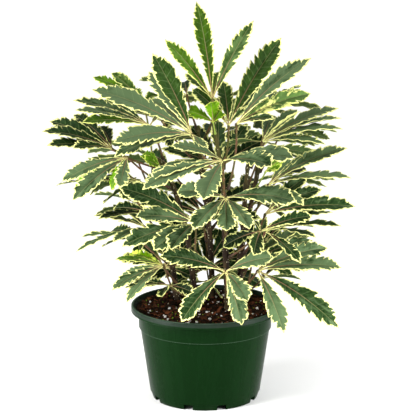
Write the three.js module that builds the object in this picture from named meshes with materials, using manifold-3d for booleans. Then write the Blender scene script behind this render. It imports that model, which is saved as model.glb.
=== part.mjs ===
// A variegated false aralia in a round nursery pot, in millimetres, +Z up.
// The origin is the centre of the pot's underside and -Y is the plant's front.
// Six woody stems root in the soil. Each leaf is one solid: a stalk that ends in a hub,
// and long leaflets that fan out from the hub.
import * as THREE from "three";
import { mergeVertices } from "three/addons/utils/BufferGeometryUtils.js";
import Module from "manifold-3d";

const wasm = await Module();
wasm.setup();

// ---- driving dimensions ----
const POT = {
  height: 106,
  rimRadius: 82.5,
  rimDepth: 7,
  lipWidth: 3.5,
  collarRadius: 74.5,
  collarFoot: 80,
  wallTopRadius: 72.4,
  wallFootRadius: 61.8,
  wallFoot: 7.5,
  baseRadius: 59,
  padRadius: 42,
  channelTop: 5.5,
  wall: 1.5,
  notchBearings: [18, 63, 117, 162],
  notchWidth: 10.5,
  notchHeight: 6,
  sides: 48,
};
const SOIL = { top: 104.5, dome: 2.1, gap: 0.5, sides: 24 };
const STEM = { footRadius: 4.6, tipRadius: 2.4, sides: 7, rows: 9 };
const STALK = { radius: 1.5, hubRadius: 2.2, halfSides: 3, steps: 4, bow: 0.1 };
const BLADE = {
  thickness: 1.5,
  above: 0.3,
  stemWidth: 2.6,
  tipWidth: 1,
  baseWidth: 9,
  widthPerLength: 0.135,
  arch: 0.05,
  uprightArch: 0.01,
  rollSwing: 10,
};
// How wide a leaflet is along its length, as [share of the length, share of its full width].
const OUTLINE = [
  [0.14, 0],
  [0.35, 0.74],
  [0.6, 1],
  [0.82, 0.6],
];
const TOUCH_GAP = 0.35;

// ---- the plant's plan ----
// Each stem's centre line from its root to its tip.
const STEMS = {
  centre: [[26, -18, 72], [25, -20, 112], [22, -22, 184], [21, -20, 228], [17, -12, 266], [8, -3, 316]],
  left: [[-12, -10, 72], [-12, -10, 122], [-21, 0, 190], [-36, 5, 240], [-52, 10, 270]],
  right: [[40, 8, 72], [39, 10, 115], [42, 15, 181], [45, 12, 233], [48, 8, 270]],
  back: [[8, 28, 72], [8, 32, 120], [4, 42, 190], [-4, 48, 250], [-8, 50, 298]],
  back_right: [[28, 36, 72], [34, 40, 120], [46, 50, 180], [58, 58, 235], [64, 60, 272]],
  back_left: [[-28, 22, 72], [-34, 28, 125], [-48, 42, 185], [-64, 54, 238]],
};

// Leaves that are placed one by one: the stem, the height of the joint on it, the hub, how broad the
// leaflets are, how far their faces lean to the front, and the leaflets as
// [bearing round Z from +X, rise above the horizon, length].
const LEAVES = [
  { name: "top", stem: "centre", joint: 312, hub: [8, 0, 336], broad: 0.85, lean: 40,
    leaflets: [[120, 75, 108], [23, 59, 97], [167, 49, 83], [80, 38, 42], [130, 26, 52]] },
  { name: "right_crown", stem: "centre", joint: 262, hub: [26, 15, 304], broad: 1.1, lean: 42,
    leaflets: [[18, 56, 113], [96, 50, 58], [143, 37, 62], [60, 30, 80], [-52, 31, 34]] },
  { name: "right_arch", stem: "centre", joint: 240, hub: [34, -8, 310], broad: 1, lean: 38,
    leaflets: [[14, 41, 109], [46, 36, 103], [19, 18, 92], [-30, 12, 48]] },
  { name: "left_crown", stem: "centre", joint: 252, hub: [-14, -30, 303], broad: 1.15, lean: 40,
    leaflets: [[158, 60, 97], [-176, 25, 118], [-150, 0, 95], [133, 40, 93], [125, 18, 88], [-68, -20, 37], [-160, -11, 90]] },
  { name: "left_wing", stem: "left", joint: 238, hub: [-84, -20, 276], broad: 1.1, lean: 40,
    leaflets: [[-161, -16, 78], [-138, -27, 84], [158, -34, 81], [142, -58, 46], [-100, -30, 50]] },
  { name: "left_reach", stem: "left", joint: 260, hub: [-102, 10, 279], broad: 1.1, lean: 34,
    leaflets: [[-172, 17, 80], [168, 21, 77], [-161, 6, 74], [-136, 8, 56], [140, 28, 67], [105, 15, 60]] },
  { name: "left_upper", stem: "left", joint: 266, hub: [-61, 22, 303], broad: 0.9, lean: 24,
    leaflets: [[-177, 18, 89], [-162, 14, 87], [152, 17, 60], [-153, 7, 82], [60, 20, 50]] },
  { name: "left_back_upper", stem: "back_left", joint: 234, hub: [-69, 58, 321], broad: 1.1, lean: 30,
    leaflets: [[173, 45, 50], [156, 24, 68], [110, 10, 50], [70, 5, 45], [-150, 5, 52]] },
  { name: "front", stem: "centre", joint: 226, hub: [19, -70, 282], broad: 1.55, lean: 30,
    leaflets: [[-111, -27, 66], [-21, 6, 79], [-46, 4, 73], [-161, -9, 89], [-151, -14, 97], [172, 9, 57]] },
  { name: "front_middle", stem: "centre", joint: 188, hub: [22, -75, 243], broad: 1.5, lean: 32,
    leaflets: [[-20, 3, 78], [-66, -21, 61], [-126, -24, 60], [165, 4, 54], [-90, -48, 40]] },
  { name: "front_low", stem: "centre", joint: 118, hub: [22, -60, 158], broad: 1.3, lean: 34,
    leaflets: [[-166, 17, 76], [-156, -43, 72], [-64, -20, 57], [-62, -54, 62], [-21, 21, 59]] },
  { name: "right_low", stem: "right", joint: 120, hub: [57, -45, 155], broad: 1.15, lean: 34,
    leaflets: [[-9, 4, 92], [-19, -31, 108], [-67, -37, 86], [25, 11, 88], [60, 5, 55]] },
  { name: "right_reach", stem: "right", joint: 162, hub: [66, -10, 210], broad: 1, lean: 30,
    leaflets: [[-7, 6, 100], [-115, -32, 63], [45, 24, 76], [20, 18, 72]] },
  { name: "right_drop", stem: "right", joint: 142, hub: [66, -20, 193], broad: 0.95, lean: 4,
    leaflets: [[-12, 7, 85], [8, 14, 78], [-45, -32, 60], [35, -4, 70]] },
  { name: "right_inner", stem: "right", joint: 118, hub: [52, 16, 150], broad: 1.15, lean: 28,
    leaflets: [[-14, 34, 62], [-46, 43, 60], [22, 12, 78], [60, 0, 70], [-5, -6, 66]] },
  { name: "right_wing", stem: "right", joint: 212, hub: [70, 10, 239], broad: 0.95, lean: 24,
    leaflets: [[0, 26, 96], [28, 22, 84], [-11, 7, 93], [60, 12, 70], [-48, -14, 58]] },
  { name: "right_upper", stem: "right", joint: 258, hub: [63, 15, 286], broad: 0.95, lean: 10,
    leaflets: [[9, 23, 93], [-7, 18, 92], [-17, 12, 93], [-26, 3, 76], [-24, 40, 60], [42, 29, 62], [75, 20, 60]] },
  { name: "left_middle", stem: "left", joint: 150, hub: [-10, -30, 204], broad: 1.25, lean: 40,
    leaflets: [[-170, 28, 95], [-149, 12, 76], [-161, -13, 86], [-125, -11, 77], [-110, -9, 75]] },
  { name: "left_lower", stem: "left", joint: 164, hub: [-66, 15, 189], broad: 0.9, lean: 8,
    leaflets: [[-170, 15, 60], [-163, -16, 83], [-130, -7, 54], [146, 26, 46], [120, -5, 62]] },
  { name: "left_low", stem: "left", joint: 120, hub: [-46, -15, 153], broad: 1, lean: 22,
    leaflets: [[177, 6, 54], [-149, -16, 68], [147, 10, 46], [-131, -26, 67], [165, -20, 56]] },
  { name: "new_centre", stem: "centre", joint: 300, hub: [9, -14, 313], broad: 1.5, lean: 30,
    leaflets: [[-110, 70, 26], [-170, 33, 31], [-15, 50, 16]] },
  { name: "new_left", stem: "left", joint: 250, hub: [-48, -14, 262], broad: 1.4, lean: 30,
    leaflets: [[-140, 30, 26], [-80, 10, 28], [160, 20, 26]] },
  { name: "new_right", stem: "right", joint: 228, hub: [66, -12, 258], broad: 1.4, lean: 30,
    leaflets: [[-15, 40, 30], [-60, 15, 26], [30, 30, 28]] },
  { name: "inner_low", stem: "back", joint: 110, hub: [2, 62, 130], broad: 1.1, lean: 46,
    leaflets: [[-4, -8, 70], [12, 18, 72], [48, 44, 70], [92, 56, 64], [132, 44, 70], [168, 18, 72], [-176, -8, 70],
      [-24, -12, 46], [-156, -14, 46]] },
  { name: "inner_left", stem: "back_left", joint: 110, hub: [-46, 50, 134], broad: 1.05, lean: 46,
    leaflets: [[0, -6, 60], [20, 30, 66], [80, 54, 64], [140, 34, 62], [172, 10, 54], [-170, -18, 50],
      [-24, -14, 44]] },
  { name: "inner_right", stem: "back_right", joint: 112, hub: [54, 78, 138], broad: 1.05, lean: 46,
    leaflets: [[178, 0, 60], [150, 30, 66], [100, 50, 66], [46, 30, 68], [8, 6, 68], [-30, -10, 56]] },
  { name: "inner_middle", stem: "back", joint: 168, hub: [-2, 50, 196], broad: 1.1, lean: 46,
    leaflets: [[-4, -8, 66], [12, 18, 70], [48, 40, 66], [92, 56, 60], [132, 40, 66], [168, 18, 70], [-176, -8, 66]] },
  { name: "inner_high", stem: "back", joint: 214, hub: [16, 66, 246], broad: 1.1, lean: 46,
    leaflets: [[-4, -8, 66], [12, 18, 70], [48, 40, 66], [92, 56, 60], [132, 40, 66], [168, 18, 70], [-176, -8, 66]] },
];

// The leaves round the back and inside, as [stem, joint height, bearing, reach, lift, size, leaflets].
const BACK_LEAVES = [
  ["back", 150, 100, 62, 26, 84, 6],
  ["back", 182, 55, 58, 34, 88, 6],
  ["back", 206, 135, 60, 36, 90, 6],
  ["back", 232, 88, 58, 40, 92, 7],
  ["back", 256, 155, 48, 44, 88, 6],
  ["back", 276, 60, 44, 46, 86, 6],
  ["back", 294, 115, 30, 34, 72, 6],
  ["back_right", 140, 50, 48, 18, 64, 5],
  ["back_right", 168, 70, 56, 30, 88, 6],
  ["back_right", 196, 44, 44, 32, 78, 6],
  ["back_right", 222, 82, 52, 38, 88, 6],
  ["back_right", 244, 48, 40, 40, 74, 6],
  ["back_right", 266, 75, 32, 48, 82, 6],
  ["back_left", 146, 150, 44, 22, 70, 6],
  ["back_left", 172, 125, 52, 28, 68, 6],
  ["back_left", 198, 165, 48, 32, 76, 6],
  ["back_left", 218, 115, 50, 36, 86, 6],
  ["left", 184, -150, 46, 30, 60, 5],
  ["left", 206, 165, 48, 34, 78, 6],
  ["left", 116, -160, 30, 16, 50, 5],
  ["right", 112, 40, 34, 14, 54, 5],
  ["right", 236, 60, 42, 44, 78, 5],
  ["left", 112, 60, 26, 16, 50, 6],
  ["centre", 166, -35, 46, 34, 72, 5],
];
// A leaf from that list fans its leaflets to each side of its own bearing, and its faces lean that way.
const FAN = { halfAngle: 118, sideShrink: 0.34, forwardRise: 6, sideRise: -14, wobble: 7, lean: 44, broad: 1.1 };

// A leaflet that would touch another leaf turns by [bearing, rise] to the first free place in this list.
const TURNS = [
  [0, 0], [0, 7], [0, -7], [8, 0], [-8, 0], [8, 8], [-8, 8], [8, -8], [-8, -8],
  [0, 15], [0, -15], [16, 0], [-16, 0], [16, 12], [-16, 12], [16, -12], [-16, -12], [0, 24], [0, -24],
];
const FREE = { flatGap: 2.4, steepGap: 4, reach: 8, firstShare: 0.25, samples: 9, stemPlaces: 40, stalkPlaces: 12 };
// No blade hangs into the pot: this is the space it stays out of.
const OVER_POT = { radius: 85, top: 108.5 };

const radians = THREE.MathUtils.degToRad;
const vector = (x, y, z) => new THREE.Vector3(x, y, z);
const UP = vector(0, 0, 1);

// ---- solids ----
// A closed cylinder whose points are moved to where they belong. `place` gets the row, from 0 at the foot
// to `rows` at the head, and the point's place across on the unit circle.
function shapedCylinder(sides, rows, place) {
  const geometry = new THREE.CylinderGeometry(1, 1, 1, sides, rows);
  const position = geometry.attributes.position;
  for (let i = 0; i < position.count; i++) {
    const row = Math.round((position.getY(i) + 0.5) * rows);
    const point = place(row, position.getX(i), position.getZ(i));
    position.setXYZ(i, point.x, point.y, point.z);
  }
  return geometry;
}

function solidOf(geometry) {
  const bare = geometry.clone();
  bare.deleteAttribute("normal");
  bare.deleteAttribute("uv");
  const merged = mergeVertices(bare, 1e-4);
  return new wasm.Manifold(
    new wasm.Mesh({
      numProp: 3,
      vertProperties: new Float32Array(merged.attributes.position.array),
      triVerts: new Uint32Array(merged.index.array),
    }),
  );
}

function geometryOf(solid) {
  const mesh = solid.getMesh();
  const geometry = new THREE.BufferGeometry();
  geometry.setAttribute("position", new THREE.BufferAttribute(mesh.vertProperties, 3));
  geometry.setIndex(new THREE.BufferAttribute(mesh.triVerts, 1));
  geometry.computeVertexNormals();
  return geometry;
}

function lathe(outline, sides) {
  const points = outline.map(([r, z]) => new THREE.Vector2(r, z));
  return solidOf(new THREE.LatheGeometry(points, sides).rotateX(Math.PI / 2));
}

// ---- pot and soil ----
function makePot() {
  const p = POT;
  const lipFoot = p.height - p.rimDepth;
  const lipInner = p.rimRadius - p.lipWidth;
  const flareFoot = lipFoot - 2.6;
  const outline = [
    [0, 0],
    [p.padRadius, 0],
    [p.padRadius + 1.5, p.channelTop],
    [p.baseRadius - 5, p.channelTop],
    [p.baseRadius - 3.5, 0],
    [p.baseRadius, 0],
    [p.wallFootRadius - 0.9, p.wallFoot - 0.5],
    [p.wallFootRadius, p.wallFoot],
    [p.wallTopRadius, p.collarFoot],
    [p.collarRadius - 0.4, p.collarFoot + 1.2],
    [p.collarRadius, flareFoot],
    [lipInner + 1, p.height - 2.3],
    [p.rimRadius - p.wall, p.height - 2.3],
    [p.rimRadius - p.wall, lipFoot],
    [p.rimRadius, lipFoot],
    [p.rimRadius, p.height - 1.6],
    [p.rimRadius - 1.2, p.height],
    [lipInner + 0.8, p.height],
    [lipInner, p.height - 1],
    [p.collarRadius - p.wall, flareFoot + 1],
    [p.collarRadius - p.wall - 0.4, p.collarFoot + 1.2],
    [p.wallTopRadius - p.wall, p.collarFoot],
    [p.wallFootRadius - p.wall, p.wallFoot + 2],
    [p.wallFootRadius - p.wall - 2, p.channelTop + p.wall],
    [p.padRadius + 0.6, p.channelTop + p.wall],
    [p.padRadius - 1.2, p.wall],
    [0, p.wall],
  ];
  let pot = lathe(outline, p.sides);
  for (const bearing of p.notchBearings)
    for (const turn of [bearing - 90, -bearing - 90]) {
      const cutter = new THREE.BoxGeometry(16, p.notchWidth, 2 * p.notchHeight)
        .translate(p.baseRadius, 0, 0)
        .rotateZ(radians(turn));
      pot = pot.subtract(solidOf(cutter));
    }
  return pot;
}

function makeSoil(stemSockets) {
  const p = POT;
  const inset = p.wall + SOIL.gap;
  const outline = [
    [0, inset],
    [p.padRadius - 1.8, inset],
    [p.padRadius, p.channelTop + inset],
    [p.wallFootRadius - inset - 2.6, p.channelTop + inset],
    [p.wallFootRadius - inset - 0.5, p.wallFoot + 2.4],
    [p.wallTopRadius - inset - 0.5, p.collarFoot - 1],
    [p.collarRadius - inset - 0.5, p.height - p.rimDepth - 2.2],
    [p.rimRadius - p.lipWidth - 2.9, SOIL.top - SOIL.dome],
    [p.collarRadius * 0.6, SOIL.top - 0.8],
    [0, SOIL.top],
  ];
  let soil = lathe(outline, SOIL.sides);
  for (const socket of stemSockets) soil = soil.subtract(socket);
  return soil;
}

// ---- stems ----
const stemCurves = Object.fromEntries(
  Object.entries(STEMS).map(([name, points]) => [
    name,
    new THREE.CatmullRomCurve3(points.map((p) => vector(...p)), false, "catmullrom", 0.5),
  ]),
);

const stemRadius = (share) => STEM.footRadius + (STEM.tipRadius - STEM.footRadius) * share;

// The share of the way along a stem's curve at which it reaches a height, by halving.
function shareAtHeight(curve, height) {
  let low = 0;
  let high = 1;
  for (let i = 0; i < 30; i++) {
    const middle = (low + high) / 2;
    if (curve.getPoint(middle).z < height) low = middle;
    else high = middle;
  }
  return low;
}

function makeStem(name, extra = 0) {
  const curve = stemCurves[name];
  const geometry = shapedCylinder(STEM.sides, STEM.rows, (row, x, z) => {
    const share = row / STEM.rows;
    const along = curve.getTangent(share);
    const across = vector(0, 1, 0).cross(along).normalize();
    const other = across.clone().cross(along);
    const radius = stemRadius(share) + extra;
    return curve.getPoint(share).addScaledVector(across, radius * x).addScaledVector(other, radius * z);
  });
  return solidOf(geometry);
}

// ---- leaves ----
function direction(bearing, rise) {
  const b = radians(bearing);
  const r = radians(rise);
  return vector(Math.cos(b) * Math.cos(r), Math.sin(b) * Math.cos(r), Math.sin(r));
}

// A leaflet's line and blade: straight out from the hub and arched over, its face leaning as the leaf's
// faces do and rolled a little.
function makeLeaflet(leaf, [bearing, rise, length], roll) {
  const out = direction(bearing, rise);
  const lift = UP.clone().addScaledVector(out, -UP.dot(out)).normalize();
  const face = direction(leaf.leanTo, 90 - leaf.lean);
  const flatSide = face.clone().cross(out).normalize();
  const flatFace = out.clone().cross(flatSide);
  const side = flatSide.multiplyScalar(Math.cos(roll)).addScaledVector(flatFace, Math.sin(roll));
  const arch = length * (BLADE.arch * Math.cos(radians(rise)) + BLADE.uprightArch);
  const width = (BLADE.baseWidth + BLADE.widthPerLength * length) * leaf.broad;
  return { leaf: leaf.name, hub: leaf.hub, out, lift, side, arch, length, width };
}

function pointOf(leaflet, share) {
  return leaflet.hub
    .clone()
    .addScaledVector(leaflet.out, leaflet.length * share)
    .addScaledVector(leaflet.lift, leaflet.arch * 4 * share * (1 - share));
}

function normalOf(leaflet, share) {
  const along = leaflet.out
    .clone()
    .multiplyScalar(leaflet.length)
    .addScaledVector(leaflet.lift, leaflet.arch * 4 * (1 - 2 * share))
    .normalize();
  return along.cross(leaflet.side).normalize();
}

function widthShare(share) {
  const knots = [...OUTLINE, [1, 0]];
  for (let i = 0; i + 1 < knots.length; i++) {
    const [from, low] = knots[i];
    const [to, high] = knots[i + 1];
    if (share >= from && share <= to) return low + ((high - low) * (share - from)) / (to - from);
  }
  return 0;
}

// Where a leaflet's blade is, as points with the blade's normal at each.
function placesOf(leaflet) {
  const places = [];
  for (let i = 0; i < FREE.samples; i++) {
    const share = FREE.firstShare + ((1 - FREE.firstShare) * i) / (FREE.samples - 1);
    const half = (leaflet.width / 2) * widthShare(share);
    const normal = normalOf(leaflet, share);
    for (const k of [-1, 0, 1])
      places.push({ at: pointOf(leaflet, share).addScaledVector(leaflet.side, k * half), normal });
  }
  return places;
}

function placesAlong(curve, count) {
  const places = [];
  for (let i = 0; i <= count; i++) places.push({ at: curve.getPoint(i / count), normal: vector(0, 0, 0) });
  return places;
}

function near(a, b) {
  const gap = b.at.clone().sub(a.at);
  const allowed = FREE.flatGap + FREE.steepGap * (1 - Math.abs(a.normal.dot(b.normal)));
  const through = Math.abs(gap.dot(a.normal));
  return through < allowed && gap.lengthSq() - through * through < FREE.reach * FREE.reach;
}

function sphereOf(places) {
  const box = new THREE.Box3().setFromPoints(places.map((p) => p.at));
  const centre = box.getCenter(vector(0, 0, 0));
  return { centre, radius: Math.max(...places.map((p) => p.at.distanceTo(centre))) + FREE.reach };
}

function meets(group, other) {
  if (group.sphere.centre.distanceTo(other.sphere.centre) > group.sphere.radius + other.sphere.radius) return false;
  return group.places.some((a) => other.places.some((b) => near(a, b)));
}

const grouped = (owner, places) => ({ owner, places, sphere: sphereOf(places) });

// The list of leaves with their hubs and leaflets as wished, before any turns to keep clear.
function plan() {
  const placed = LEAVES.map((leaf) => ({ ...leaf, leanTo: -90, hub: vector(...leaf.hub) }));
  BACK_LEAVES.forEach(([stem, joint, bearing, reach, lift, size, count], n) => {
    const curve = stemCurves[stem];
    const foot = curve.getPoint(shareAtHeight(curve, joint));
    const hub = foot.addScaledVector(direction(bearing, 0), reach).addScaledVector(UP, lift);
    const leaflets = [];
    for (let k = 0; k < count; k++) {
      const turn = (2 * k) / (count - 1) - 1;
      const wobble = FAN.wobble * Math.sin(5 * k + 3 * n);
      leaflets.push([
        bearing + FAN.halfAngle * turn + wobble,
        FAN.forwardRise + (FAN.sideRise - FAN.forwardRise) * Math.abs(turn) + wobble,
        size * (1 - FAN.sideShrink * Math.abs(turn)),
      ]);
    }
    const name = "back_" + String(n + 1).padStart(2, "0");
    placed.push({ name, stem, joint, hub, broad: FAN.broad, lean: FAN.lean, leanTo: bearing, leaflets });
  });
  return placed;
}

function stalkOf(leaf) {
  const curve = stemCurves[leaf.stem];
  const share = shareAtHeight(curve, leaf.joint);
  const foot = curve.getPoint(share);
  const away = leaf.hub.clone().sub(foot);
  const along = curve.getTangent(share);
  const outward = away.clone().addScaledVector(along, -away.dot(along)).normalize();
  const start = foot.clone().addScaledVector(outward, stemRadius(share) + STALK.radius + TOUCH_GAP);
  const bend = start.clone().add(leaf.hub).multiplyScalar(0.5).addScaledVector(outward, STALK.bow * away.length());
  return new THREE.QuadraticBezierCurve3(start, bend, leaf.hub);
}

function dipsIntoPot(group) {
  return group.places.some(({ at }) => Math.hypot(at.x, at.y) < OVER_POT.radius && at.z < OVER_POT.top);
}

function settle(leaves) {
  const taken = Object.entries(stemCurves).map(([name, curve]) => grouped(name, placesAlong(curve, FREE.stemPlaces)));
  for (const leaf of leaves) taken.push(grouped(leaf.name, placesAlong(leaf.stalk, FREE.stalkPlaces)));
  leaves.forEach((leaf, n) => {
    leaf.settled = [];
    leaf.leaflets.forEach(([bearing, rise, length], k) => {
      const roll = radians(BLADE.rollSwing) * Math.sin(2.4 * k + 1.7 * n);
      for (const [turn, tip] of TURNS) {
        const leaflet = makeLeaflet(leaf, [bearing + turn, rise + tip, length], roll);
        const group = grouped(leaf.name, placesOf(leaflet));
        if (dipsIntoPot(group)) continue;
        if (taken.some((other) => other.owner !== leaf.name && meets(group, other))) continue;
        taken.push(group);
        leaf.settled.push(leaflet);
        break;
      }
    });
  });
}

// The leaflet's blade with a raised rib along its underside, from the hub to the tip.
function bladeSolid(leaflet, extra) {
  const rows = [[0, 0], ...OUTLINE, [1, 0]];
  const geometry = shapedCylinder(3, rows.length - 1, (row, x, z) => {
    const [share, wide] = rows[row];
    const least = share === 1 ? BLADE.tipWidth : BLADE.stemWidth;
    const half = Math.max(least, leaflet.width * wide) / 2 + extra;
    const depth = BLADE.thickness * ((z + 0.5) / 1.5 - BLADE.above) + extra * (z > 0 ? 1 : -1);
    return pointOf(leaflet, share)
      .addScaledVector(leaflet.side, (half * x) / Math.sin(Math.PI / 3))
      .addScaledVector(normalOf(leaflet, share), -depth);
  });
  return solidOf(geometry);
}

function leafSolid(leaf, extra = 0) {
  const round = new THREE.Shape().absarc(0, 0, STALK.radius + extra, 0, 2 * Math.PI);
  const settings = { curveSegments: STALK.halfSides, steps: STALK.steps, extrudePath: leaf.stalk, bevelEnabled: false };
  let solid = solidOf(new THREE.ExtrudeGeometry(round, settings));
  const knob = new THREE.IcosahedronGeometry(STALK.hubRadius + extra, 0).translate(...leaf.hub.toArray());
  solid = solid.add(solidOf(knob));
  for (const leaflet of leaf.settled) solid = solid.add(bladeSolid(leaflet, extra));
  return solid;
}

// The largest single body of a solid that a cut may have divided.
function largestBody(solid) {
  return solid.decompose().sort((a, b) => b.volume() - a.volume())[0];
}

// ---- assembly ----
const COLOURS = {
  pot: [0x1b4a26, 0.35],
  soil: [0x2a1a12, 0.95],
  stem: [0x2a1a18, 0.8],
  leaf: [0x3d5c3e, 0.5],
  newLeaf: [0x86b51c, 0.5],
};

const plant = new THREE.Group();

function addPiece(name, solid, [colour, roughness]) {
  const material = new THREE.MeshStandardMaterial({ color: colour, roughness, metalness: 0 });
  const mesh = new THREE.Mesh(geometryOf(solid), material);
  mesh.name = name;
  plant.add(mesh);
}

const leaves = plan();
for (const leaf of leaves) leaf.stalk = stalkOf(leaf);
settle(leaves);

addPiece("pot", makePot(), COLOURS.pot);
addPiece("soil", makeSoil(Object.keys(STEMS).map((name) => makeStem(name, TOUCH_GAP))), COLOURS.soil);
const done = [];
for (const name of Object.keys(STEMS)) {
  const solid = makeStem(name);
  addPiece("stem_" + name, solid, COLOURS.stem);
  done.push({ solid, grown: makeStem(name, TOUCH_GAP) });
}
for (const leaf of leaves) {
  let solid = leafSolid(leaf);
  for (const other of done) if (solid.intersect(other.grown).volume() > 0) solid = solid.subtract(other.grown);
  solid = largestBody(solid);
  done.push({ solid, grown: leafSolid(leaf, TOUCH_GAP) });
  addPiece("leaf_" + leaf.name, solid, leaf.name.startsWith("new") ? COLOURS.newLeaf : COLOURS.leaf);
}

export default plant;
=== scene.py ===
import math

import bmesh
import bpy
import numpy as np
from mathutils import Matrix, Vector
from mathutils import noise as surfaceNoise


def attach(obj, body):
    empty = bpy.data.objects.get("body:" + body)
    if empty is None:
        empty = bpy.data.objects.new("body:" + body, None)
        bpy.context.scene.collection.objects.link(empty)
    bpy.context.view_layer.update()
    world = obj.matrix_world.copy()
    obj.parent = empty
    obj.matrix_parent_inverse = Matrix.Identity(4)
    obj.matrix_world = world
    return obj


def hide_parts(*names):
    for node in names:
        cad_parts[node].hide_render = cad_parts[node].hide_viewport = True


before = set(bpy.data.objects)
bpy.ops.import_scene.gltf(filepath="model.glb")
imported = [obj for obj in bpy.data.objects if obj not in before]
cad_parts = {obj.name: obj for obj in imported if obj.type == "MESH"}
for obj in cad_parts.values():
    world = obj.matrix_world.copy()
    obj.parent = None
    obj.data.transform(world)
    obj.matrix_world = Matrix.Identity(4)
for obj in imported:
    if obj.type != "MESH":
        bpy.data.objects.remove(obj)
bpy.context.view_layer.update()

mm = 0.001  # the plan below is in millimetres, and the scene is in metres


# Camera, floor and studio light

cameraSetup = {
    "place": (0.0, -1.990, 0.666),
    "aim": (0.0033, 0.0, 0.215),
    "lens": 160.1,
    "sensor": 36.0,
}

studio = {
    "floorColour": (0.87, 0.87, 0.87, 1.0),
    "floorSize": 30.0,
    "skyTop": (1.0, 1.0, 1.0, 1.0),
    "skyLow": (0.55, 0.55, 0.56, 1.0),
    "skyStrength": 0.18,
    # name, direction it shines from as bearing and rise, its width in the sky in degrees, strength, colour
    "suns": [
        ("keyLeft", -140.0, 48.0, 18.0, 1.95, (1.0, 0.99, 0.96)),
        ("fillRight", -28.0, 38.0, 36.0, 1.0, (0.98, 0.99, 1.0)),
        ("topSoft", 80.0, 66.0, 60.0, 1.35, (1.0, 1.0, 1.0)),
    ],
    # name, place, aim, width and height, watts
    "boxes": [
        ("boxLeft", (-0.60, -0.32, 0.17), (0.0, 0.0, 0.05), (0.26, 0.34), 9.0),
        ("boxRight", (0.60, -0.32, 0.17), (0.0, 0.0, 0.05), (0.26, 0.34), 8.0),
    ],
}


def aimAt(item, place, target):
    item.location = place
    item.rotation_mode = "QUATERNION"
    item.rotation_quaternion = (Vector(target) - Vector(place)).to_track_quat("-Z", "Y")


def makeCamera():
    data = bpy.data.cameras.new("plantCamera")
    data.sensor_width = cameraSetup["sensor"]
    data.lens = cameraSetup["lens"]
    data.clip_start = 0.05
    data.clip_end = 100.0
    camera = bpy.data.objects.new("plantCamera", data)
    bpy.context.scene.collection.objects.link(camera)
    aimAt(camera, cameraSetup["place"], cameraSetup["aim"])
    bpy.context.scene.camera = camera


def makeLights():
    for name, bearing, rise, width, strength, colour in studio["suns"]:
        data = bpy.data.lights.new(name, "SUN")
        data.angle = math.radians(width)
        data.energy = strength
        data.color = colour
        light = bpy.data.objects.new(name, data)
        bpy.context.scene.collection.objects.link(light)
        b, r = math.radians(bearing), math.radians(rise)
        place = Vector((math.cos(b) * math.cos(r), math.sin(b) * math.cos(r), math.sin(r))) * 3
        aimAt(light, place, (0.0, 0.0, 0.0))
    for name, place, target, size, power in studio["boxes"]:
        data = bpy.data.lights.new(name, "AREA")
        data.shape = "RECTANGLE"
        data.size, data.size_y = size
        data.energy = power
        light = bpy.data.objects.new(name, data)
        bpy.context.scene.collection.objects.link(light)
        aimAt(light, place, target)


# Small helpers for building shader nodes

def feed(tree, node, values):
    for key, value in values.items():
        socket = node.inputs[key]
        if isinstance(value, bpy.types.NodeSocket):
            tree.links.new(value, socket)
        else:
            socket.default_value = value
    return node


def put(tree, kind, values=None, **settings):
    node = tree.nodes.new("ShaderNode" + kind)
    for key, value in settings.items():
        setattr(node, key, value)
    return feed(tree, node, values or {})


def calc(tree, operation, first, second=0.0):
    return put(tree, "Math", {0: first, 1: second}, operation=operation).outputs[0]


def spread(tree, value, low, high, toLow=0.0, toHigh=1.0):
    values = {"Value": value, "From Min": low, "From Max": high, "To Min": toLow, "To Max": toHigh}
    return put(tree, "MapRange", values, interpolation_type="SMOOTHSTEP").outputs[0]


def mixed(tree, factor, first, second, mode="MIX"):
    values = {0: factor, 6: first, 7: second}
    return put(tree, "Mix", values, data_type="RGBA", blend_type=mode).outputs[2]


def scaled(tree, vector, factors):
    return put(tree, "VectorMath", {0: vector, 1: factors}, operation="MULTIPLY").outputs[0]


def cloud(tree, vector, scale, detail=3.0, roughness=0.55):
    values = {"Vector": vector, "Scale": scale, "Detail": detail, "Roughness": roughness}
    return put(tree, "TexNoise", values).outputs[0]


def split(tree, vector):
    return put(tree, "SeparateXYZ", {0: vector}).outputs


def newMaterial(name):
    material = bpy.data.materials.new(name)
    material.use_nodes = True
    return material, material.node_tree, material.node_tree.nodes["Principled BSDF"]


def newGroup(name, numbers, vectors=("Vector",), outputs=("Mask",)):
    group = bpy.data.node_groups.new(name, "ShaderNodeTree")
    for key in vectors:
        group.interface.new_socket(key, in_out="INPUT", socket_type="NodeSocketVector")
    for key, value in numbers.items():
        socket = group.interface.new_socket(key, in_out="INPUT", socket_type="NodeSocketFloat")
        socket.default_value = value
    for key in outputs:
        group.interface.new_socket(key, in_out="OUTPUT", socket_type="NodeSocketFloat")
    return group, group.nodes.new("NodeGroupInput"), group.nodes.new("NodeGroupOutput")


def makeSpeckleGroup():
    group, given, result = newGroup("speckles", {"Scale": 400.0, "Size": 0.3, "Cover": 0.5})
    bend = cloud(group, given.outputs["Vector"], calc(group, "MULTIPLY", given.outputs["Scale"], 0.6))
    cells = put(group, "TexVoronoi", {"Vector": given.outputs["Vector"], "Scale": given.outputs["Scale"]})
    distance = calc(group, "ADD", cells.outputs["Distance"], calc(group, "MULTIPLY", bend, 0.35))
    limit = calc(group, "ADD", given.outputs["Size"], 0.17)
    dot = spread(group, calc(group, "SUBTRACT", limit, distance), 0.0, 0.08)
    pick = put(group, "SeparateColor", {0: cells.outputs["Color"]}).outputs[0]
    chosen = calc(group, "LESS_THAN", pick, given.outputs["Cover"])
    group.links.new(calc(group, "MULTIPLY", dot, chosen), result.inputs["Mask"])
    return group


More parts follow.
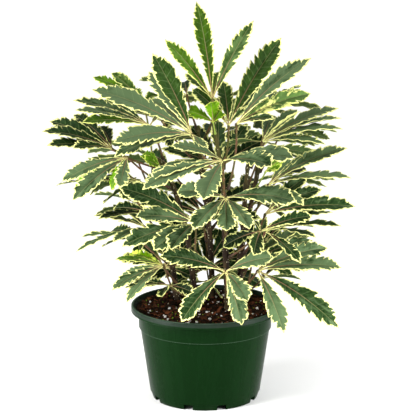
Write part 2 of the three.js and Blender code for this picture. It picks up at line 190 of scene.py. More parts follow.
def makeMottleGroup():
    group, given, result = newGroup("mottle", {"Scale": 60.0, "Low": 0.38, "High": 0.62})
    coarse = cloud(group, given.outputs["Vector"], given.outputs["Scale"], 4.0, 0.6)
    values = {
        "Value": coarse,
        "From Min": given.outputs["Low"],
        "From Max": given.outputs["High"],
        "To Min": 0.0,
        "To Max": 1.0,
    }
    ranged = put(group, "MapRange", values, interpolation_type="SMOOTHSTEP")
    group.links.new(ranged.outputs[0], result.inputs["Mask"])
    return group


speckleGroup = makeSpeckleGroup()
mottleGroup = makeMottleGroup()


def groupMask(tree, group, vector, **values):
    node = tree.nodes.new("ShaderNodeGroup")
    node.node_tree = group
    feed(tree, node, {"Vector": vector, **values})
    return node.outputs["Mask"]


def bump(tree, height, strength, distance):
    values = {"Height": height, "Strength": strength, "Distance": distance}
    return put(tree, "Bump", values).outputs["Normal"]


def makeFloor():
    half = studio["floorSize"] / 2
    corners = [(-half, -half, 0), (half, -half, 0), (half, half, 0), (-half, half, 0)]
    mesh = bpy.data.meshes.new("studioFloor")
    mesh.from_pydata(corners, [], [(0, 1, 2, 3)])
    floor = bpy.data.objects.new("studioFloor", mesh)
    bpy.context.scene.collection.objects.link(floor)
    material, tree, shader = newMaterial("studioFloor")
    feed(tree, shader, {"Base Color": studio["floorColour"], "Roughness": 0.9, "Specular IOR Level": 0.0})
    mesh.materials.append(material)


def makeSky():
    world = bpy.data.worlds.new("studioSky")
    world.use_nodes = True
    bpy.context.scene.world = world
    tree = world.node_tree
    direction = put(tree, "TexCoord").outputs["Generated"]
    height = split(tree, direction)[2]
    colour = mixed(tree, spread(tree, height, 0.0, 0.7), studio["skyLow"], studio["skyTop"])
    feed(tree, tree.nodes["Background"], {"Color": colour, "Strength": studio["skyStrength"]})


makeCamera()
makeLights()
makeFloor()
makeSky()
bpy.context.scene.view_settings.view_transform = "Standard"  # keeps the cream margins and the floor clean
print("studio ready")


# Meshes from lists of parts

class MeshParts:
    def __init__(self):
        self.points, self.faces, self.kinds, self.values = [], [], [], {}
        self.count = 0

    def add(self, points, faces, kind=0, **values):
        points = np.asarray(points, float).reshape(-1, 3)
        self.faces += [tuple(int(k) + self.count for k in face) for face in faces]
        self.kinds += [kind] * len(faces)
        self.points.append(points)
        for name, value in values.items():
            self.values.setdefault(name, []).append(np.asarray(value, float))
        self.count += len(points)

    def build(self, name, materials, sharpAngle=None):
        mesh = bpy.data.meshes.new(name)
        mesh.from_pydata((np.concatenate(self.points) * mm).tolist(), [], self.faces)
        for material in materials:
            mesh.materials.append(material)
        mesh.polygons.foreach_set("material_index", self.kinds)
        mesh.polygons.foreach_set("use_smooth", [True] * len(self.faces))
        for key, parts in self.values.items():
            flat = np.concatenate(parts)
            colour = flat.shape[1] == 4
            layer = mesh.attributes.new(key, "FLOAT_COLOR" if colour else "FLOAT_VECTOR", "POINT")
            layer.data.foreach_set("color" if colour else "vector", flat.astype(np.float32).ravel())
        if sharpAngle:
            mesh.set_sharp_from_angle(angle=math.radians(sharpAngle))
        mesh.validate()
        mesh.update()
        piece = bpy.data.objects.new(name, mesh)
        bpy.context.scene.collection.objects.link(piece)
        return piece


def settlePiece(piece, slotName, *nodes):
    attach(piece, "root")
    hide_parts(*nodes)


# The grid of quads between rows of points, each row a ring when `closed`
def gridFaces(rows, columns, closed=False):
    faces = []
    last = columns if closed else columns - 1
    for i in range(rows - 1):
        for j in range(last):
            k = (j + 1) % columns
            a, b = i * columns, (i + 1) * columns
            faces.append((a + j, a + k, b + k, b + j))
    return faces


# The plant's plan: stems, stalks and leaflets, in the same places as in the model's solids

stemPlan = {
    "centre": [[26, -18, 72], [25, -20, 112], [22, -22, 184], [21, -20, 228], [17, -12, 266], [8, -3, 316]],
    "left": [[-12, -10, 72], [-12, -10, 122], [-21, 0, 190], [-36, 5, 240], [-52, 10, 270]],
    "right": [[40, 8, 72], [39, 10, 115], [42, 15, 181], [45, 12, 233], [48, 8, 270]],
    "back": [[8, 28, 72], [8, 32, 120], [4, 42, 190], [-4, 48, 250], [-8, 50, 298]],
    "back_right": [[28, 36, 72], [34, 40, 120], [46, 50, 180], [58, 58, 235], [64, 60, 272]],
    "back_left": [[-28, 22, 72], [-34, 28, 125], [-48, 42, 185], [-64, 54, 238]],
}

# name, stem, joint height, hub, breadth, lean to the front, leaflets as [bearing, rise, length]
leafPlan = [
    ["top", "centre", 312, [8, 0, 336], 0.85, 40,
     [[120, 75, 108], [23, 59, 97], [167, 49, 83], [80, 38, 42], [130, 26, 52]]],
    ["right_crown", "centre", 262, [26, 15, 304], 1.1, 42,
     [[18, 56, 113], [96, 50, 58], [143, 37, 62], [60, 30, 80], [-52, 31, 34]]],
    ["right_arch", "centre", 240, [34, -8, 310], 1, 38,
     [[14, 41, 109], [46, 36, 103], [19, 18, 92], [-30, 12, 48]]],
    ["left_crown", "centre", 252, [-14, -30, 303], 1.15, 40,
     [[158, 60, 97], [-176, 25, 118], [-150, 0, 95], [133, 40, 93], [125, 18, 88], [-68, -20, 37],
      [-160, -11, 90]]],
    ["left_wing", "left", 238, [-84, -20, 276], 1.1, 40,
     [[-161, -16, 78], [-138, -27, 84], [158, -34, 81], [142, -58, 46], [-100, -30, 50]]],
    ["left_reach", "left", 260, [-102, 10, 279], 1.1, 34,
     [[-172, 17, 80], [168, 21, 77], [-161, 6, 74], [-136, 8, 56], [140, 28, 67], [105, 15, 60]]],
    ["left_upper", "left", 266, [-61, 22, 303], 0.9, 24,
     [[-177, 18, 89], [-162, 14, 87], [152, 17, 60], [-153, 7, 82], [60, 20, 50]]],
    ["left_back_upper", "back_left", 234, [-69, 58, 321], 1.1, 30,
     [[173, 45, 50], [156, 24, 68], [110, 10, 50], [70, 5, 45], [-150, 5, 52]]],
    ["front", "centre", 226, [19, -70, 282], 1.55, 30,
     [[-111, -27, 66], [-21, 6, 79], [-46, 4, 73], [-161, -9, 89], [-151, -14, 97], [172, 9, 57]]],
    ["front_middle", "centre", 188, [22, -75, 243], 1.5, 32,
     [[-20, 3, 78], [-66, -21, 61], [-126, -24, 60], [165, 4, 54], [-90, -48, 40]]],
    ["front_low", "centre", 118, [22, -60, 158], 1.3, 34,
     [[-166, 17, 76], [-156, -43, 72], [-64, -20, 57], [-62, -54, 62], [-21, 21, 59]]],
    ["right_low", "right", 120, [57, -45, 155], 1.15, 34,
     [[-9, 4, 92], [-19, -31, 108], [-67, -37, 86], [25, 11, 88], [60, 5, 55]]],
    ["right_reach", "right", 162, [66, -10, 210], 1, 30,
     [[-7, 6, 100], [-115, -32, 63], [45, 24, 76], [20, 18, 72]]],
    ["right_drop", "right", 142, [66, -20, 193], 0.95, 4,
     [[-12, 7, 85], [8, 14, 78], [-45, -32, 60], [35, -4, 70]]],
    ["right_inner", "right", 118, [52, 16, 150], 1.15, 28,
     [[-14, 34, 62], [-46, 43, 60], [22, 12, 78], [60, 0, 70], [-5, -6, 66]]],
    ["right_wing", "right", 212, [70, 10, 239], 0.95, 24,
     [[0, 26, 96], [28, 22, 84], [-11, 7, 93], [60, 12, 70], [-48, -14, 58]]],
    ["right_upper", "right", 258, [63, 15, 286], 0.95, 10,
     [[9, 23, 93], [-7, 18, 92], [-17, 12, 93], [-26, 3, 76], [-24, 40, 60], [42, 29, 62], [75, 20, 60]]],
    ["left_middle", "left", 150, [-10, -30, 204], 1.25, 40,
     [[-170, 28, 95], [-149, 12, 76], [-161, -13, 86], [-125, -11, 77], [-110, -9, 75]]],
    ["left_lower", "left", 164, [-66, 15, 189], 0.9, 8,
     [[-170, 15, 60], [-163, -16, 83], [-130, -7, 54], [146, 26, 46], [120, -5, 62]]],
    ["left_low", "left", 120, [-46, -15, 153], 1, 22,
     [[177, 6, 54], [-149, -16, 68], [147, 10, 46], [-131, -26, 67], [165, -20, 56]]],
    ["new_centre", "centre", 300, [9, -14, 313], 1.5, 30,
     [[-110, 70, 26], [-170, 33, 31], [-15, 50, 16]]],
    ["new_left", "left", 250, [-48, -14, 262], 1.4, 30, [[-140, 30, 26], [-80, 10, 28], [160, 20, 26]]],
    ["new_right", "right", 228, [66, -12, 258], 1.4, 30, [[-15, 40, 30], [-60, 15, 26], [30, 30, 28]]],
    ["inner_low", "back", 110, [2, 62, 130], 1.1, 46,
     [[-4, -8, 70], [12, 18, 72], [48, 44, 70], [92, 56, 64], [132, 44, 70], [168, 18, 72],
      [-176, -8, 70], [-24, -12, 46], [-156, -14, 46]]],
    ["inner_left", "back_left", 110, [-46, 50, 134], 1.05, 46,
     [[0, -6, 60], [20, 30, 66], [80, 54, 64], [140, 34, 62], [172, 10, 54], [-170, -18, 50],
      [-24, -14, 44]]],
    ["inner_right", "back_right", 112, [54, 78, 138], 1.05, 46,
     [[178, 0, 60], [150, 30, 66], [100, 50, 66], [46, 30, 68], [8, 6, 68], [-30, -10, 56]]],
    ["inner_middle", "back", 168, [-2, 50, 196], 1.1, 46,
     [[-4, -8, 66], [12, 18, 70], [48, 40, 66], [92, 56, 60], [132, 40, 66], [168, 18, 70],
      [-176, -8, 66]]],
    ["inner_high", "back", 214, [16, 66, 246], 1.1, 46,
     [[-4, -8, 66], [12, 18, 70], [48, 40, 66], [92, 56, 60], [132, 40, 66], [168, 18, 70],
      [-176, -8, 66]]],
]

# stem, joint height, bearing, reach, lift, size, leaflets
backPlan = [
    ["back", 150, 100, 62, 26, 84, 6],
    ["back", 182, 55, 58, 34, 88, 6],
    ["back", 206, 135, 60, 36, 90, 6],
    ["back", 232, 88, 58, 40, 92, 7],
    ["back", 256, 155, 48, 44, 88, 6],
    ["back", 276, 60, 44, 46, 86, 6],
    ["back", 294, 115, 30, 34, 72, 6],
    ["back_right", 140, 50, 48, 18, 64, 5],
    ["back_right", 168, 70, 56, 30, 88, 6],
    ["back_right", 196, 44, 44, 32, 78, 6],
    ["back_right", 222, 82, 52, 38, 88, 6],
    ["back_right", 244, 48, 40, 40, 74, 6],
    ["back_right", 266, 75, 32, 48, 82, 6],
    ["back_left", 146, 150, 44, 22, 70, 6],
    ["back_left", 172, 125, 52, 28, 68, 6],
    ["back_left", 198, 165, 48, 32, 76, 6],
    ["back_left", 218, 115, 50, 36, 86, 6],
    ["left", 184, -150, 46, 30, 60, 5],
    ["left", 206, 165, 48, 34, 78, 6],
    ["left", 116, -160, 30, 16, 50, 5],
    ["right", 112, 40, 34, 14, 54, 5],
    ["right", 236, 60, 42, 44, 78, 5],
    ["left", 112, 60, 26, 16, 50, 6],
    ["centre", 166, -35, 46, 34, 72, 5],
]

growth = {
    "stemFoot": 4.6,
    "stemTip": 2.4,
    "stalkRadius": 1.5,
    "stalkBow": 0.1,
    "touchGap": 0.35,
    "baseWidth": 9,
    "widthPerLength": 0.135,
    "arch": 0.05,
    "uprightArch": 0.01,
    "rollSwing": 10,
    "fanHalfAngle": 118,
    "fanSideShrink": 0.34,
    "fanForwardRise": 6,
    "fanSideRise": -14,
    "fanWobble": 7,
    "fanLean": 44,
    "fanBroad": 1.1,
}

outline = [[0.14, 0], [0.35, 0.74], [0.6, 1], [0.82, 0.6], [1, 0]]
turnsToTry = [
    [0, 0], [0, 7], [0, -7], [8, 0], [-8, 0], [8, 8], [-8, 8], [8, -8], [-8, -8],
    [0, 15], [0, -15], [16, 0], [-16, 0], [16, 12], [-16, 12], [16, -12], [-16, -12], [0, 24], [0, -24],
]
clearance = {"flatGap": 2.4, "steepGap": 4, "reach": 8, "firstShare": 0.25, "samples": 9,
             "potRadius": 85, "potTop": 108.5}


def unit(vector):
    return vector / np.linalg.norm(vector)


def direction(bearing, rise):
    b, r = math.radians(bearing), math.radians(rise)
    return np.array([math.cos(b) * math.cos(r), math.sin(b) * math.cos(r), math.sin(r)])


class SmoothCurve:
    # A curve through points, with the slope at each point set by its neighbours
    def __init__(self, points):
        self.points = [np.array(p, float) for p in points]

    def at(self, share):
        points = self.points
        last = len(points) - 1
        place = last * share
        i = min(int(math.floor(place)), last - 1)
        w = place - i
        before = points[i - 1] if i > 0 else 2 * points[0] - points[1]
        after = points[i + 2] if i + 2 <= last else 2 * points[last] - points[last - 1]
        a, b = points[i], points[i + 1]
        slopeA, slopeB = (b - before) / 2, (after - a) / 2
        return (
            a + slopeA * w
            + (-3 * a + 3 * b - 2 * slopeA - slopeB) * w**2
            + (2 * a - 2 * b + slopeA + slopeB) * w**3
        )

    def along(self, share):
        return unit(self.at(min(1, share + 1e-4)) - self.at(max(0, share - 1e-4)))

    def shareAt(self, height):
        low, high = 0.0, 1.0
        for _ in range(30):
            middle = (low + high) / 2
            if self.at(middle)[2] < height:
                low = middle
            else:
                high = middle
        return low


stems = {name: SmoothCurve(points) for name, points in stemPlan.items()}


def stemRadius(share):
    return growth["stemFoot"] + (growth["stemTip"] - growth["stemFoot"]) * share


def stalkPoint(leaf, share):
    start, bend, hub = leaf["stalk"]
    return start * (1 - share) ** 2 + bend * 2 * share * (1 - share) + hub * share**2


def makeStalkLine(leaf):
    curve = stems[leaf["stem"]]
    share = curve.shareAt(leaf["joint"])
    foot = curve.at(share)
    away = leaf["hub"] - foot
    along = curve.along(share)
    outward = unit(away - along * away.dot(along))
    start = foot + outward * (stemRadius(share) + growth["stalkRadius"] + growth["touchGap"])
    bend = (start + leaf["hub"]) / 2 + outward * growth["stalkBow"] * np.linalg.norm(away)
    return start, bend, leaf["hub"]


def makeLeafPlan():
    leaves = []
    for name, stem, joint, hub, broad, lean, leaflets in leafPlan:
        leaves.append({"name": name, "stem": stem, "joint": joint, "hub": np.array(hub, float),
                       "broad": broad, "lean": lean, "leanTo": -90, "leaflets": leaflets})
    for n, (stem, joint, bearing, reach, lift, size, count) in enumerate(backPlan):
        curve = stems[stem]
        foot = curve.at(curve.shareAt(joint))
        hub = foot + direction(bearing, 0) * reach + np.array([0, 0, lift])
        leaflets = []
        for k in range(count):
            turn = 2 * k / (count - 1) - 1
            wobble = growth["fanWobble"] * math.sin(5 * k + 3 * n)
            rise = growth["fanForwardRise"]
            rise += (growth["fanSideRise"] - growth["fanForwardRise"]) * abs(turn) + wobble
            length = size * (1 - growth["fanSideShrink"] * abs(turn))
            leaflets.append([bearing + growth["fanHalfAngle"] * turn + wobble, rise, length])
        leaves.append({"name": "back_%02d" % (n + 1), "stem": stem, "joint": joint, "hub": hub,
                       "broad": growth["fanBroad"], "lean": growth["fanLean"], "leanTo": bearing,
                       "leaflets": leaflets})
    for leaf in leaves:
        leaf["stalk"] = makeStalkLine(leaf)
    return leaves


class Leaflet:
    def __init__(self, leaf, bearing, rise, length, roll):
        self.hub, self.length = leaf["hub"], length
        self.out = direction(bearing, rise)
        up = np.array([0.0, 0.0, 1.0])
        self.lift = unit(up - self.out * up.dot(self.out))
        face = direction(leaf["leanTo"], 90 - leaf["lean"])
        flatSide = unit(np.cross(face, self.out))
        flatFace = np.cross(self.out, flatSide)
        self.side = flatSide * math.cos(roll) + flatFace * math.sin(roll)
        self.arch = length * (growth["arch"] * math.cos(math.radians(rise)) + growth["uprightArch"])
        self.width = (growth["baseWidth"] + growth["widthPerLength"] * length) * leaf["broad"]

    def at(self, share):
        share = np.asarray(share, float)[..., None]
        return self.hub + self.out * self.length * share + self.lift * self.arch * 4 * share * (1 - share)

    def along(self, share):
        share = np.asarray(share, float)[..., None]
        line = self.out * self.length + self.lift * self.arch * 4 * (1 - 2 * share)
        return line / np.linalg.norm(line, axis=-1, keepdims=True)

    def normal(self, share):
        normal = np.cross(self.along(share), self.side)
        return normal / np.linalg.norm(normal, axis=-1, keepdims=True)


class Occupied:
    # Points that a piece holds, with the blade's normal at each, or none round a stem or stalk
    def __init__(self, owner, points, normals):
        self.owner, self.points, self.normals = owner, points, normals
        self.centre = (points.min(0) + points.max(0)) / 2
        self.radius = np.linalg.norm(points - self.centre, axis=1).max() + clearance["reach"]

    def meets(self, other):
        if np.linalg.norm(self.centre - other.centre) > self.radius + other.radius:
            return False
        gap = other.points[None] - self.points[:, None]
        steep = 1 - np.abs(self.normals @ other.normals.T)
        through = np.abs((gap * self.normals[:, None]).sum(-1))
        beside = (gap**2).sum(-1) - through**2
        near = through < clearance["flatGap"] + clearance["steepGap"] * steep
        return bool((near & (beside < clearance["reach"] ** 2)).any())


def bladePlaces(leaf, leaflet):
    first = clearance["firstShare"]
    shares = first + (1 - first) * np.arange(clearance["samples"]) / (clearance["samples"] - 1)
    half = leaflet.width / 2 * np.interp(shares, [k[0] for k in outline], [k[1] for k in outline])
    centres, normals = leaflet.at(shares), leaflet.normal(shares)
    points = np.concatenate([centres + leaflet.side * (k * half)[:, None] for k in (-1, 0, 1)])
    return Occupied(leaf["name"], points, np.concatenate([normals] * 3))


def dipsIntoPot(places):
    overPot = np.hypot(places.points[:, 0], places.points[:, 1]) < clearance["potRadius"]
    return bool((overPot & (places.points[:, 2] < clearance["potTop"])).any())


def settleLeaflets(leaves):
    taken = []
    for name, curve in stems.items():
        points = np.array([curve.at(i / 40) for i in range(41)])
        taken.append(Occupied(name, points, np.zeros((41, 3))))
    for leaf in leaves:
        points = np.array([stalkPoint(leaf, i / 12) for i in range(13)])
        taken.append(Occupied(leaf["name"], points, np.zeros((13, 3))))
    for n, leaf in enumerate(leaves):
        leaf["settled"] = []
        for k, (bearing, rise, length) in enumerate(leaf["leaflets"]):
            roll = math.radians(growth["rollSwing"]) * math.sin(2.4 * k + 1.7 * n)
            for turn, tip in turnsToTry:
                leaflet = Leaflet(leaf, bearing + turn, rise + tip, length, roll)
                places = bladePlaces(leaf, leaflet)
                if dipsIntoPot(places) or any(
                    other.owner != leaf["name"] and places.meets(other) for other in taken
                ):
                    continue
                taken.append(places)
                leaf["settled"].append((k, leaflet))
                break


leaves = makeLeafPlan()
settleLeaflets(leaves)
print("leaflets placed:", sum(len(leaf["settled"]) for leaf in leaves))


# Leaves

leafLook = {
    "teethBase": 4.6,
    "teethPerLength": 0.055,
    "youngTeeth": 0.7,
    "toothDepth": 0.27,
    "toothProfile": [0.0, 0.38, 0.66, 0.88, 1.0],
    "slant": 0.62,
    "stalkShare": 0.055,
    "risePower": 1.3,
    "fallPower": 0.92,
    "fold": 0.24,
    "camber": 0.3,
    "ripple": 0.09,
    "thickness": 0.42,
    "acrossStops": [0.0, 0.07, 0.3, 0.58, 0.84, 1.0],
    # painted shade green for the inner and back leaves
    "paintedShadeGreen": (0.004, 0.013, 0.002, 1.0),
    "darkGreen": (0.006, 0.019, 0.004, 1.0),
    "midGreen": (0.024, 0.056, 0.013, 1.0),
    "greyGreen": (0.088, 0.140, 0.060, 1.0),
    "limeGreen": (0.120, 0.270, 0.001, 1.0),
    "brightGreen": (0.050, 0.120, 0.001, 1.0),
    "cream": (0.900, 0.880, 0.340, 1.0),
    # painted shade cream for the margins of the inner and back leaves
    "paintedShadeCream": (0.270, 0.300, 0.075, 1.0),
    "limeCream": (0.620, 0.740, 0.060, 1.0),
    "midrib": (0.300, 0.150, 0.090, 1.0),
    "underside": (0.075, 0.120, 0.035, 1.0),
    "scorch": (0.180, 0.085, 0.035, 1.0),
    "vein": (0.200, 0.280, 0.110, 1.0),
    "dullCream": (0.620, 0.660, 0.250, 1.0),
    "midribTip": (0.200, 0.240, 0.090, 1.0),
    "teethFrom": 0.17,
    "baseRows": 5,
}

# lime, grey and blotch for whole leaves, and for single leaflets by their place in the plan; a grey below
# zero, given to inner and back leaves below, is painted shade
leafTones = {
    "top": (0.30, 0.10, 0.0),
    "left_crown": (0.0, 0.85, 0.0),
    "left_upper": (0.0, 0.75, 0.0),
    "left_reach": (0.0, 0.05, 0.0),
    "right_crown": (0.1, 0.2, 0.0),
    "front": (0.0, 0.7, 0.05),
    "front_middle": (0.0, 0.65, 0.05),
    "front_low": (0.0, 0.55, 0.0),
    "left_back_upper": (0.35, 0.05, 0.1),
    "new_centre": (1.0, 0.0, 0.0),
    "new_left": (0.85, 0.2, 0.0),
    "new_right": (0.8, 0.1, 0.2),
}
leafletTones = {
    ("top", 1): (0.18, 0.45, 0.0),
    ("top", 2): (0.45, 0.15, 0.0),
    ("left_upper", 3): (0.45, 0.0, 0.0),
    ("left_low", 2): (1.0, 0.0, 0.5),
    ("left_low", 0): (0.5, 0.4, 0.2),
    ("right_arch", 0): (0.0, 0.65, 0.0),
    ("right_arch", 2): (0.35, 0.7, 0.5),
    ("right_upper", 4): (0.1, 0.1, 1.0),
    ("left_wing", 2): (0.6, 0.1, 0.0),
    ("left_wing", 3): (0.9, 0.1, 0.0),
    ("right_crown", 0): (0.12, 0.0, 0.0),
    ("left_crown", 0): (0.1, 0.0, 0.0),
    ("left_crown", 1): (0.0, 0.75, 0.0),
    ("left_back_upper", 1): (0.8, 0.0, 0.0),
}


# some leaflets are slimmer than the plan's
slimLeaflets = {("front", 3): 0.72, ("front", 4): 0.68, ("front", 5): 0.8, ("front_middle", 1): 0.8}


def bladeHalfWidth(share, leaflet):
    start = leafLook["stalkShare"]
    u = np.clip((share - start) / (1 - start), 0, 1)
    a, b = leafLook["risePower"], leafLook["fallPower"]
    peak = (a / (a + b)) ** a * (b / (a + b)) ** b
    return leaflet.width / 2 * u**a * (1 - u) ** b / peak


# A leaflet's blade as a thin closed shell: rows run out to the tip and slant forward to each tooth
def addBlade(parts, leaflet, tone, seed):
    draw = np.random.RandomState(seed)
    teeth = leafLook["teethBase"] + leafLook["teethPerLength"] * leaflet.length
    teeth = int(round(teeth * (1 + leafLook["youngTeeth"] * tone[0])))
    profile = leafLook["toothProfile"]
    perTooth = len(profile)
    bladeRows = teeth * perTooth + 1
    first = leafLook["teethFrom"]
    baseRows = leafLook["baseRows"]  # rows between the stalk and the first tooth
    spans = draw.uniform(0.55, 1.45, teeth)
    marks = np.concatenate([[0], np.cumsum(spans) / spans.sum()])
    toothShares = np.interp(np.arange(bladeRows) / perTooth, np.arange(teeth + 1), marks)
    shares = np.concatenate([np.linspace(0, first - 0.03, baseRows), first + (1 - first) * toothShares])
    rows = len(shares)
    phase = np.concatenate([np.linspace(-1, -0.2, baseRows), np.arange(bladeRows) / perTooth])
    even = shares + 0.012 * np.sin(phase * 1.7 + seed) * (shares > first) * (1 - shares)
    half = bladeHalfWidth(even, leaflet)
    stops = leafLook["acrossStops"]
    across = np.array([-s for s in stops[:0:-1]] + stops)
    columns = len(across)
    bend = draw.uniform(-0.035, 0.035) * leaflet.length
    twist = draw.uniform(-0.2, 0.2)
    ripplePhase = draw.uniform(0, 6.28)
    fold = leafLook["fold"] * draw.uniform(0.6, 1.3)
    points = np.zeros((rows, columns, 3))
    normals = np.zeros((rows, columns, 3))
    edges = np.zeros((rows, columns, 3))
    grids = np.zeros((rows, columns, 3))
    # teeth differ in size, and on the two sides they don't stand opposite each other
    sizes = 0.2 + 1.5 * draw.uniform(0, 1, (2, teeth + 2)) ** 1.3
    for j, s in enumerate(across):
        left = s < 0
        shift = perTooth // 2 if left else 0
        order = np.maximum(np.arange(rows) - baseRows + shift, 0)
        tooth = np.array([profile[k % perTooth] for k in order])
        size = sizes[int(left)][np.minimum(order // perTooth, teeth + 1)]
        fade = np.clip((shares - 0.14) / 0.2, 0, 1)
        cut = leafLook["toothDepth"] * (1 - tooth) * size * fade
        wide = np.maximum(half * (1 - cut), np.where(shares < 0.5, 0.75, 0.22))
        reach = abs(s) * wide
        forward = leafLook["slant"] * reach * np.clip((1 - shares) * 6, 0, 1)
        where = np.minimum(even + forward / leaflet.length, 1.02)
        centre = leaflet.at(where) + leaflet.side * (bend * where**2)[:, None]
        normal = leaflet.normal(where)
        turn = twist * (where - 0.3)
        side = leaflet.side * np.cos(turn)[:, None] + normal * np.sin(turn)[:, None]
        face = normal * np.cos(turn)[:, None] - leaflet.side * np.sin(turn)[:, None]
        height = fold * reach + leafLook["camber"] * half * (abs(s) - s * s)
        wave = np.sin(phase * 2 * math.pi * 0.5 + ripplePhase + (1.3 if left else 0.0))
        height = height + leafLook["ripple"] * half * s * s * wave
        points[:, j] = centre + side * (np.sign(s) * reach)[:, None] + face * height[:, None]
        normals[:, j] = face
        edges[:, j] = np.stack([wide - reach, phase + (0.5 if left else 0.0), shares], 1)
        grids[:, j] = np.stack([np.sign(s) * reach, shares * leaflet.length, np.full(rows, seed * 7.3)], 1)
    # the blade thickens where it joins the stalk
    thick = leafLook["thickness"] / 2 + 0.45 * np.clip(1 - shares / 0.16, 0, 1)
    offset = normals * thick[:, None, None]
    shell = np.concatenate([(points + offset).reshape(-1, 3), (points - offset).reshape(-1, 3)])
    top = np.arange(rows * columns).reshape(rows, columns)
    under = top + rows * columns
    upper = np.stack([top[:-1, :-1], top[1:, :-1], top[1:, 1:], top[:-1, 1:]], -1)
    lower = np.stack([under[:-1, :-1], under[:-1, 1:], under[1:, 1:], under[1:, :-1]], -1)
    faces = upper.reshape(-1, 4).tolist() + lower.reshape(-1, 4).tolist()
    for rim, low in ((top[:, 0], under[:, 0]), (top[::-1, -1], under[::-1, -1]),
                     (top[0, ::-1], under[0, ::-1]), (top[-1], under[-1])):
        faces += np.stack([rim[:-1], low[:-1], low[1:], rim[1:]], -1).tolist()
    tones = np.zeros((2, rows * columns, 4))
    tones[..., :3] = tone
    tones[1, :, 3] = 1.0
    parts.add(
        shell, faces,
        bladeGrid=np.concatenate([grids.reshape(-1, 3)] * 2),
        bladeEdge=np.concatenate([edges.reshape(-1, 3)] * 2),
        bladeTone=tones.reshape(-1, 4),
    )


stalkLook = {
    "sides": 10,
    "rows": 22,
    "footRadius": 2.3,
    "radius": 1.2,
    "hubRadius": 1.0,
    "knuckle": 0.8,
    "pink": (0.100, 0.042, 0.022, 1.0),
    "olive": (0.060, 0.058, 0.014, 1.0),
    "dark": (0.016, 0.008, 0.005, 1.0),
    "speck": (0.520, 0.500, 0.270, 1.0),
    "young": (0.200, 0.300, 0.040, 1.0),
}


# A round rod along a line, with the radius of each row
def addRod(parts, line, radii, sides, kind, tone):
    line = np.asarray(line, float)
    along = np.gradient(line, axis=0)
    along /= np.linalg.norm(along, axis=1, keepdims=True)
    across = np.cross([0.31, 0.95, 0.0], along)
    across /= np.linalg.norm(across, axis=1, keepdims=True)
    other = np.cross(along, across)
    turn = 2 * math.pi * np.arange(sides) / sides
    rings = (
        line[:, None]
        + across[:, None] * (np.cos(turn)[None, :, None] * radii[:, None, None])
        + other[:, None] * (np.sin(turn)[None, :, None] * radii[:, None, None])
    )
    rows = len(line)
    faces = gridFaces(rows, sides, closed=True)
    faces.append(tuple(range(sides - 1, -1, -1)))
    faces.append(tuple(range((rows - 1) * sides, rows * sides)))
    share = np.repeat(np.linspace(0, 1, rows), sides)
    flat = np.zeros((rows * sides, 3))
    flat[:, 1] = share * 100
    edge = np.zeros((rows * sides, 3))
    edge[:, 2] = share
    tones = np.zeros((rows * sides, 4))
    tones[:, :3] = tone
    parts.add(rings, faces, kind, bladeGrid=flat, bladeEdge=edge, bladeTone=tones)


def addStalk(parts, leaf, tone):
    look = stalkLook
    shares = np.linspace(0, 1, look["rows"])
    line = np.array([stalkPoint(leaf, s) for s in shares])
    start = line[0] - unit(line[1] - line[0]) * 0.9
    line = np.concatenate([[start], line])
    shares = np.concatenate([[0], shares])
    radii = look["radius"] + (look["hubRadius"] - look["radius"]) * shares
    radii = radii + (look["footRadius"] - look["radius"]) * np.exp(-shares * 14)
    radii = radii + look["knuckle"] * np.exp(-((1 - shares) * 16) ** 2)
    small = 0.7 if leaf["name"].startswith("new") else 1.0
    addRod(parts, line, radii * small, look["sides"], 1, tone)
    tip = unit(line[-1] - line[-2])
    cap = np.array([line[-1] + tip * d for d in (0.0, 0.7, 1.3, 1.7)])
    addRod(parts, cap, np.array([1.8, 1.6, 1.1, 0.3]) * small, look["sides"], 1, tone)


